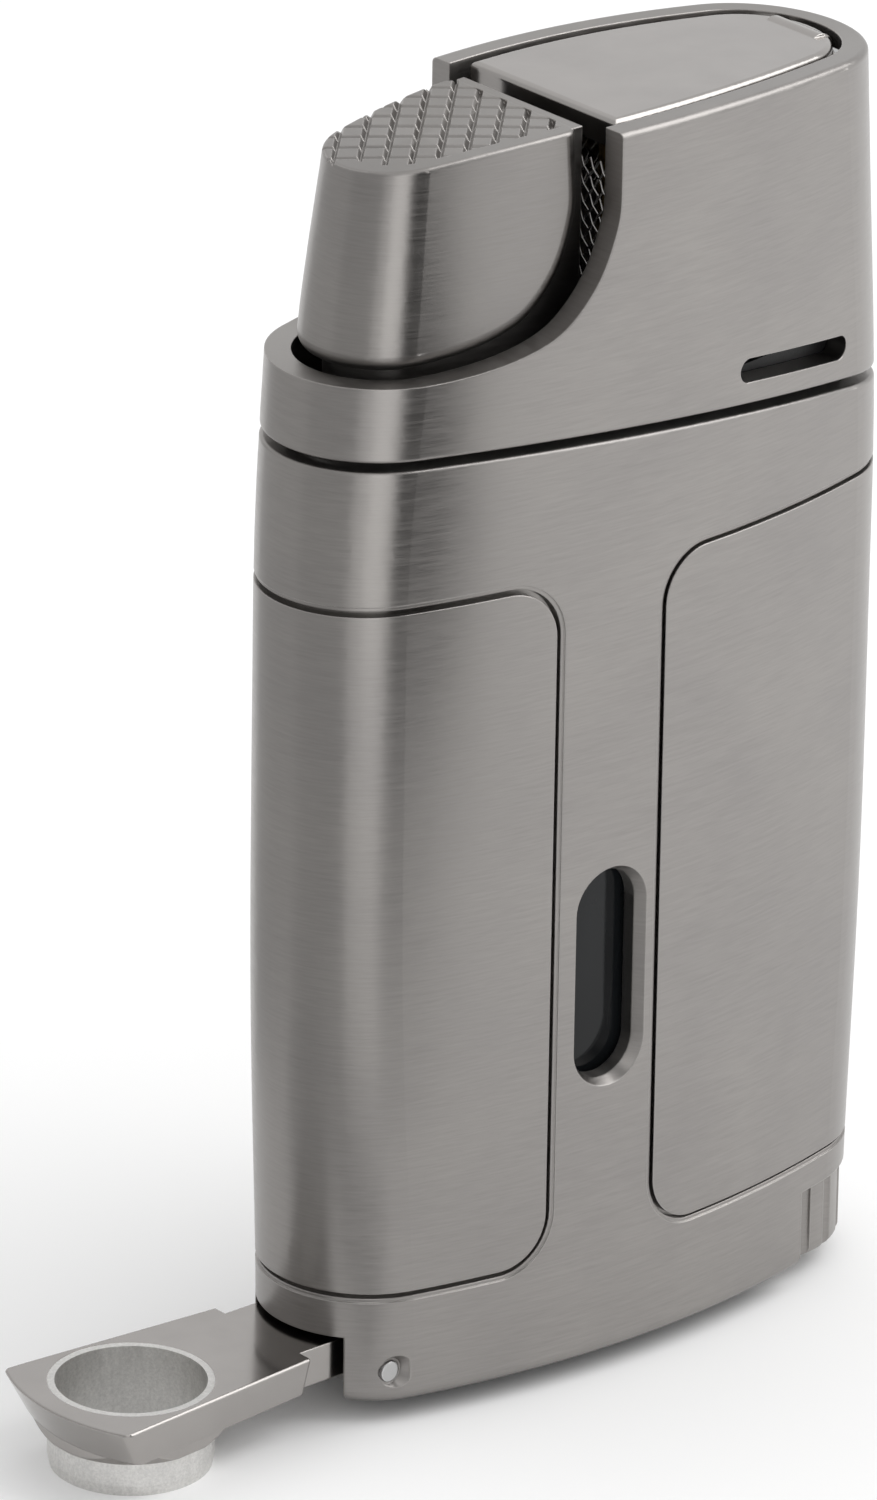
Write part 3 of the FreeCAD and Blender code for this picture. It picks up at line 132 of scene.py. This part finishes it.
class Nodes:
    """Short way to build a material's node tree."""

    def __init__(self, name):
        self.material = bpy.data.materials.new(name)
        self.material.use_nodes = True
        self.tree = self.material.node_tree
        self.tree.nodes.clear()
        self.shader = self.add("ShaderNodeBsdfPrincipled")
        self.output = self.add("ShaderNodeOutputMaterial")
        self.link(self.shader, "BSDF", self.output, "Surface")

    def add(self, kind, **settings):
        """New node of a kind, with its own settings."""
        node = self.tree.nodes.new(kind)
        for key, value in settings.items():
            setattr(node, key, value)
        return node

    def link(self, source, output, target, socket):
        self.tree.links.new(source.outputs[output], target.inputs[socket])

    def noise(self, stretch, detail, rough=0.5, scale=1.0):
        """Noise over the object, with its frequency per millimetre along each axis."""
        place = self.add("ShaderNodeTexCoord")
        mapping = self.add("ShaderNodeMapping")
        mapping.inputs["Scale"].default_value = [factor / MM for factor in stretch]
        self.link(place, "Object", mapping, "Vector")
        node = self.add("ShaderNodeTexNoise")
        node.inputs["Scale"].default_value = scale
        node.inputs["Detail"].default_value = detail
        node.inputs["Roughness"].default_value = rough
        self.link(mapping, "Vector", node, "Vector")
        return node

    def remap(self, source, output, low, high, from_low=NOISE_LOW, from_high=NOISE_HIGH):
        """A value taken from one range to another."""
        node = self.add("ShaderNodeMapRange")
        node.inputs["From Min"].default_value = from_low
        node.inputs["From Max"].default_value = from_high
        node.inputs["To Min"].default_value = low
        node.inputs["To Max"].default_value = high
        self.link(source, output, node, "Value")
        return node

    def mix(self, noise, first, second, low=NOISE_LOW, high=NOISE_HIGH):
        """Two plain colours mixed by a noise, the second where the noise is high."""
        node = self.add("ShaderNodeMix", data_type="RGBA")
        node.inputs[MIX_FIRST].default_value = (*first, 1.0)
        node.inputs[MIX_SECOND].default_value = (*second, 1.0)
        self.link(self.remap(noise, "Fac", 0.0, 1.0, low, high), "Result", node, MIX_FACTOR)
        return node

    def multiply(self, first, second):
        """Product of two mixed colours."""
        node = self.add("ShaderNodeMix", data_type="RGBA", blend_type="MULTIPLY")
        node.inputs[MIX_FACTOR].default_value = 1.0
        self.link(first, MIX_RESULT, node, MIX_FIRST)
        self.link(second, MIX_RESULT, node, MIX_SECOND)
        return node

    def paint_edge_highlight(self, tone, bevel, color):
        """A mixed colour that turns to a plain one on the edges: a painted edge highlight."""
        node = self.add("ShaderNodeMix", data_type="RGBA")
        self.link(self.edge_factor(bevel), "Result", node, MIX_FACTOR)
        self.link(tone, MIX_RESULT, node, MIX_FIRST)
        node.inputs[MIX_SECOND].default_value = (*color, 1.0)
        return node

    def paint(self, tone):
        """Use a mixed colour as the shader's colour."""
        self.link(tone, MIX_RESULT, self.shader, "Base Color")

    def roughen(self, noise, low, high):
        """Let a noise set the shader's roughness between two values."""
        self.link(self.remap(noise, "Fac", low, high), "Result", self.shader, "Roughness")

    def emboss(self, bump):
        """Use a relief as the shader's normal."""
        self.link(bump, "Normal", self.shader, "Normal")

    def bump(self, noise, strength, distance, normal=None):
        """Relief of a noise, on top of another node's normal where one is given."""
        node = self.add("ShaderNodeBump")
        node.inputs["Strength"].default_value = strength
        node.inputs["Distance"].default_value = distance * MM
        self.link(noise, "Fac", node, "Height")
        if normal is not None:
            self.link(normal, "Normal", node, "Normal")
        return node

    def soft_edges(self, radius):
        """Normal that rounds the sharp edges, with a radius in millimetres."""
        node = self.add("ShaderNodeBevel")
        node.samples = BEVEL_SAMPLES
        node.inputs["Radius"].default_value = radius * MM
        return node

    def edge_factor(self, bevel):
        """1 on an edge and 0 on open faces, from how far the rounded normal leans."""
        geometry = self.add("ShaderNodeNewGeometry")
        dot = self.add("ShaderNodeVectorMath", operation="DOT_PRODUCT")
        self.link(bevel, "Normal", dot, 0)
        self.link(geometry, "Normal", dot, 1)
        return self.remap(dot, "Value", 1.0, 0.0, EDGE_HIGHLIGHT_BELOW, OPEN_ABOVE)

    def values(self, **settings):
        """Shader inputs by name, with underscores for the spaces."""
        for key, value in settings.items():
            self.shader.inputs[key.replace("_", " ")].default_value = value


def lighten(color, factor):
    """A colour scaled by a factor, which also darkens it below 1."""
    return tuple(min(1.0, channel * factor) for channel in color)


def brushed(name, color, rough=0.33, lines=7.0, grain=0.16, anisotropy=0.65, edge=0.13):
    """Metal brushed round the vertical axis, with fine drawn lines and a painted highlight on
    its edges.
    """
    n = Nodes(name)
    streaks = n.noise((0.45, 0.45, lines), 4.0, 0.65)
    scratches = n.noise((1.6, 1.6, 2.2 * lines), 2.0, 0.6)
    cloud = n.noise((0.12, 0.12, 0.12), 3.0)
    bevel = n.soft_edges(edge)
    drawn = n.mix(streaks, lighten(color, 0.93), lighten(color, 1.07))
    shade = n.mix(cloud, (0.95, 0.95, 0.955), (1.03, 1.03, 1.025))
    # The edges get a lighter plain colour: a painted edge highlight.
    n.paint(n.paint_edge_highlight(n.multiply(drawn, shade), bevel, lighten(color, 1.5)))
    n.roughen(streaks, rough - 0.05, rough + 0.06)
    fine = n.bump(scratches, grain, 0.02, bevel)
    n.emboss(n.bump(streaks, grain, 0.04, fine))
    tangent = n.add("ShaderNodeTangent", direction_type="RADIAL", axis="Z")
    n.link(tangent, "Tangent", n.shader, "Tangent")
    n.values(Metallic=1.0, Anisotropic=anisotropy, Anisotropic_Rotation=0.25)
    return n.material


def polished(name, color, rough=0.16, edge=0.13):
    """Lacquered metal with a trace of hairlines, cloudy gloss and a painted highlight on its
    edges.
    """
    n = Nodes(name)
    cloud = n.noise((0.3, 0.3, 0.3), 4.0)
    hair = n.noise((0.25, 5.0, 5.0), 2.0)
    bevel = n.soft_edges(edge)
    base = n.mix(cloud, lighten(color, 0.95), lighten(color, 1.05))
    # The edges get a lighter plain colour: a painted edge highlight.
    n.paint(n.paint_edge_highlight(base, bevel, lighten(color, 1.45)))
    n.roughen(cloud, rough - 0.03, rough + 0.05)
    n.emboss(n.bump(hair, 0.02, 0.03, bevel))
    n.values(Metallic=1.0)
    return n.material


def satin(name, color, rough=0.42):
    """Bare steel with a fine grainy surface and faint drawn lines along its axis."""
    n = Nodes(name)
    grain = n.noise((1.0, 1.0, 1.0), 4.0, 0.7, scale=6.0)
    drawn = n.noise((2.2, 2.2, 0.35), 3.0, 0.6)
    bevel = n.soft_edges(0.05)
    tone = n.mix(grain, lighten(color, 0.82), color, 0.35, 0.65)
    shade = n.mix(drawn, (0.88, 0.88, 0.88), (1.0, 1.0, 1.0))
    n.paint(n.multiply(tone, shade))
    n.roughen(drawn, rough - 0.05, rough + 0.08)
    n.emboss(n.bump(grain, 0.25, 0.02, bevel))
    n.values(Metallic=1.0)
    return n.material


def fine_grained(name, color, rough=0.45, grain=0.25, metallic=0.0):
    """Moulding, rubber or casting with a fine spark-eroded texture."""
    n = Nodes(name)
    fine = n.noise((1.0, 1.0, 1.0), 3.0, scale=9.0)
    cloud = n.noise((0.2, 0.2, 0.2), 3.0)
    n.paint(n.mix(cloud, lighten(color, 0.8), lighten(color, 1.25)))
    n.roughen(fine, rough - 0.06, rough + 0.08)
    n.emboss(n.bump(fine, grain, 0.02))
    n.values(Metallic=metallic)
    return n.material


def smoked(name, color):
    """Dark clear plastic of the fuel tank."""
    n = Nodes(name)
    flow = n.noise((0.25, 0.25, 0.08), 2.0)
    n.paint(n.mix(flow, lighten(color, 0.7), lighten(color, 1.4)))
    n.roughen(flow, 0.05, 0.11)
    n.emboss(n.bump(flow, 0.15, 0.2))
    n.values(Specular_IOR_Level=0.28, IOR=1.5)
    return n.material


# ---------------------------------------------------------------- small builders


def mesh_object(name, vertices, faces, material):
    """Smooth-shaded mesh with one material, put into the scene."""
    mesh = bpy.data.meshes.new(name)
    mesh.from_pydata(vertices, [], faces)
    mesh.update()
    for polygon in mesh.polygons:
        polygon.use_smooth = True
    mesh.materials.append(material)
    piece = bpy.data.objects.new(name, mesh)
    bpy.context.scene.collection.objects.link(piece)
    return piece


def wall_depth(x, inset):
    """Distance of the curved face from the middle plane, set inwards."""
    return math.sqrt((FACE_RADIUS - inset) ** 2 - x * x) - (FACE_RADIUS - HALF_DEPTH)


def screen_point(along, height, proud):
    """Point of the wind screen: along its U-shaped plan, up, and off its surface."""
    span = SCREEN_RIGHT - SCREEN_LEFT
    corner = wall_depth(SCREEN_LEFT, SCREEN_INSET)
    if along < span:
        x = SCREEN_RIGHT - along
        return x, -wall_depth(x, SCREEN_INSET) - proud, height
    if along < span + 2 * corner:
        return SCREEN_LEFT - proud, -corner + (along - span), height
    x = SCREEN_LEFT + (along - span - 2 * corner)
    return x, wall_depth(x, SCREEN_INSET) + proud, height


def in_lifter_opening(along, height):
    """Whether a crossing of wires lies in the opening for the lid's lifter."""
    middle = SCREEN_RIGHT - SCREEN_LEFT + wall_depth(SCREEN_LEFT, SCREEN_INSET) + LIFTER_Y
    return abs(along - middle) < LIFTER_HALF_WIDTH and LIFTER_LOW < height < LIFTER_HIGH


def screen_wires(low, high):
    """Runs of points of two crossed sets of wires that weave over each other."""
    length = 2 * (SCREEN_RIGHT - SCREEN_LEFT) + 2 * wall_depth(SCREEN_LEFT, SCREEN_INSET)
    rows = int((high - low) / CROSSING_UP)
    columns = int(length / CROSSING_ACROSS)
    runs = []
    for sense in (1, -1):
        for start in range(-rows, columns + rows, 2):
            run = []
            for row in range(rows + 1):
                column = start + sense * row
                along, height = column * CROSSING_ACROSS, low + row * CROSSING_UP
                if 0 <= column <= columns and not in_lifter_opening(along, height):
                    over = (row % 2 == 1) == (sense > 0)
                    run.append(screen_point(along, height, WIRE_WEAVE if over else -WIRE_WEAVE))
                else:
                    runs.append(run)
                    run = []
            runs.append(run)
    return [run for run in runs if len(run) > 1]


def tube_mesh(runs, radius, sides, offset):
    """Vertices and faces of thin round tubes along runs of points, in metres."""
    vertices, faces = [], []
    for run in runs:
        points = [Vector(point) for point in run]
        base = len(vertices)
        for index, point in enumerate(points):
            before = points[max(0, index - 1)]
            after = points[min(len(points) - 1, index + 1)]
            ahead = (after - before).normalized()
            side = ahead.orthogonal().normalized()
            other = ahead.cross(side)
            for corner in range(sides):
                angle = 2 * math.pi * corner / sides
                spoke = side * math.cos(angle) + other * math.sin(angle)
                vertices.append((point + spoke * radius + offset) * MM)
        for index in range(len(points) - 1):
            for corner in range(sides):
                a = base + index * sides + corner
                b = base + index * sides + (corner + 1) % sides
                faces.append((a, b, b + sides, a + sides))
    return vertices, faces


# ---------------------------------------------------------------- scene

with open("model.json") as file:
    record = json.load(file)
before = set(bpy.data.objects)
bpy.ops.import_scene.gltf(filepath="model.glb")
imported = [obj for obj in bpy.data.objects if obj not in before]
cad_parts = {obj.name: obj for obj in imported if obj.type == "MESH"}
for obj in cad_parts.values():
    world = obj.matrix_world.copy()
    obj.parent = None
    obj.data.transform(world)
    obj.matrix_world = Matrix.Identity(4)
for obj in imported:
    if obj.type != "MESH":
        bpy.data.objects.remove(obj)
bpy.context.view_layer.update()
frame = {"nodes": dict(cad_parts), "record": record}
nodes = frame["nodes"]

case_metal = brushed("brushed_gunmetal", GUNMETAL)
trigger_metal = brushed("brushed_trigger", lighten(GUNMETAL, 0.97), lines=8.0)
gloss_metal = polished("polished_gunmetal", lighten(GUNMETAL, 1.25))
bright_metal = satin("satin_steel", BRIGHT_STEEL)
steel = polished("plain_steel", PLAIN_STEEL, rough=0.22)
brass = polished("plain_brass", BRASS, rough=0.25)
zinc = fine_grained("cast_zinc", CAST_ZINC, rough=0.5, metallic=1.0)
black_moulding = fine_grained("black_moulding", BLACK)
soft_rubber = fine_grained("soft_rubber", BLACK, rough=0.7, grain=0.5)
screen_metal = polished("screen_wire", SCREEN_STEEL, rough=0.25, edge=0.02)
smoke = smoked("smoked_clear_plastic", SMOKE)

FINISHES = {
    "case_metal": case_metal,
    "panel_metal": case_metal,
    "trigger_metal": trigger_metal,
    "polished_metal": gloss_metal,
    "bright_steel": bright_metal,
    "steel": steel,
    "brass": brass,
    "zinc_casting": zinc,
    "black_plastic": black_moulding,
    "black_mesh": screen_metal,
    "smoked_plastic": smoke,
    "rubber": soft_rubber,
}

for part in frame["record"]["subparts"]:
    mesh = nodes[part["node"]].data
    mesh.materials.clear()
    mesh.materials.append(FINISHES[part["material_slot"]])

screen_low, screen_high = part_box("mesh_screen")
wires = screen_wires(screen_low.z / MM - ROW_SHIFT.z, screen_high.z / MM - ROW_SHIFT.z)
vertices, faces = tube_mesh(wires, WIRE_RADIUS, WIRE_SIDES, ROW_SHIFT)
screen = mesh_object("woven_wind_screen", vertices, faces, screen_metal)
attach(screen, "case")
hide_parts("mesh_screen")

# ---------------------------------------------------------------- stage


def pale_floor():
    """Wide matt table that the object stands on."""
    n = Nodes("pale_floor")
    cloud = n.noise((0.002, 0.002, 0.002), 2.0)
    n.paint(n.mix(cloud, FLOOR_LOW, FLOOR_HIGH))
    n.values(Roughness=0.9)
    half = 0.5 * FLOOR_SIZE
    corners = [(-half, -half, 0), (half, -half, 0), (half, half, 0), (-half, half, 0)]
    floor = mesh_object("floor", corners, [(0, 1, 2, 3)], n.material)


def key_light():
    """Soft box that faces the middle of the object and isn't seen by the camera."""
    light = bpy.data.lights.new("key", "AREA")
    light.shape = "RECTANGLE"
    light.size, light.size_y = KEY_SIZE, KEY_SIZE
    light.energy = KEY_POWER
    lamp = bpy.data.objects.new("key", light)
    bpy.context.scene.collection.objects.link(lamp)
    back = direction(KEY_AZIMUTH, KEY_ELEVATION)
    lamp.location = CAMERA_TARGET + back * KEY_DISTANCE
    lamp.rotation_mode = "QUATERNION"
    lamp.rotation_quaternion = (-back).to_track_quat("-Z", "Y")
    lamp.visible_camera = False


def studio_world():
    """Even white surroundings."""
    world = bpy.data.worlds.new("studio")
    world.use_nodes = True
    background = world.node_tree.nodes["Background"]
    background.inputs["Color"].default_value = (1.0, 1.0, 1.0, 1.0)
    background.inputs["Strength"].default_value = WORLD_LIGHT
    bpy.context.scene.world = world


def camera():
    """Camera at the photograph's viewing angle."""
    data = bpy.data.cameras.new("camera")
    data.lens = CAMERA_LENS
    data.sensor_width = SENSOR_WIDTH
    data.clip_start, data.clip_end = CAMERA_CLIP
    eye = bpy.data.objects.new("camera", data)
    bpy.context.scene.collection.objects.link(eye)
    back = direction(CAMERA_AZIMUTH, CAMERA_ELEVATION)
    eye.location = CAMERA_TARGET + back * CAMERA_DISTANCE
    eye.rotation_mode = "QUATERNION"
    facing = (-back).to_track_quat("-Z", "Y").to_matrix()
    eye.rotation_quaternion = (facing @ Matrix.Rotation(CAMERA_ROLL, 3, "Z")).to_quaternion()
    bpy.context.scene.camera = eye


def card_object(name, corners, faces, low_tone, high_tone, low, high):
    """Glowing sheet that only shows in reflections, with a tone that changes upwards."""
    n = Nodes(name)
    n.tree.nodes.remove(n.shader)
    glow = n.add("ShaderNodeEmission")
    split = n.add("ShaderNodeSeparateXYZ")
    place = n.add("ShaderNodeTexCoord")
    n.link(place, "Object", split, "Vector")
    ramp = n.remap(split, "Z", low_tone, high_tone, low, high)
    n.link(ramp, "Result", glow, "Strength")
    n.link(glow, "Emission", n.output, "Surface")
    card = mesh_object(name, corners, faces, n.material)
    card.visible_camera = False
    card.visible_diffuse = False
    card.visible_shadow = False
    card.visible_transmission = False


def reflection_card(name, azimuth_from, azimuth_to, low, high, low_tone, high_tone):
    """Curved upright card round the case's left front corner, from low to high in mm."""
    corners, faces = [], []
    for index in range(CARD_STEPS + 1):
        azimuth = azimuth_from + (azimuth_to - azimuth_from) * index / CARD_STEPS
        foot = REFLECTION_CENTER + direction(azimuth, 0.0) * CARD_DISTANCE
        corners += [(foot.x, foot.y, low * MM), (foot.x, foot.y, high * MM)]
    for index in range(CARD_STEPS):
        a = 2 * index
        faces.append((a, a + 1, a + 3, a + 2))
    card_object(name, corners, faces, low_tone, high_tone, low * MM, high * MM)


def floor_card():
    """Dimmer sheet over the table round the arm, which the arm's drafted sides reflect."""
    outline = FLOOR_CARD_INNER + FLOOR_CARD_OUTER
    corners = [(x * MM, y * MM, FLOOR_CARD_LIFT * MM) for x, y in outline]
    count = len(FLOOR_CARD_INNER)
    faces = [(i, i + 1, i + 1 + count, i + count) for i in range(count - 1)]
    card_object("card_floor", corners, faces, FLOOR_CARD_TONE, FLOOR_CARD_TONE, 0.0, 1.0)


pale_floor()
studio_world()
camera()
key_light()
for card in CARDS:
    reflection_card(*card)
floor_card()
bpy.context.scene.view_settings.view_transform = "Standard"
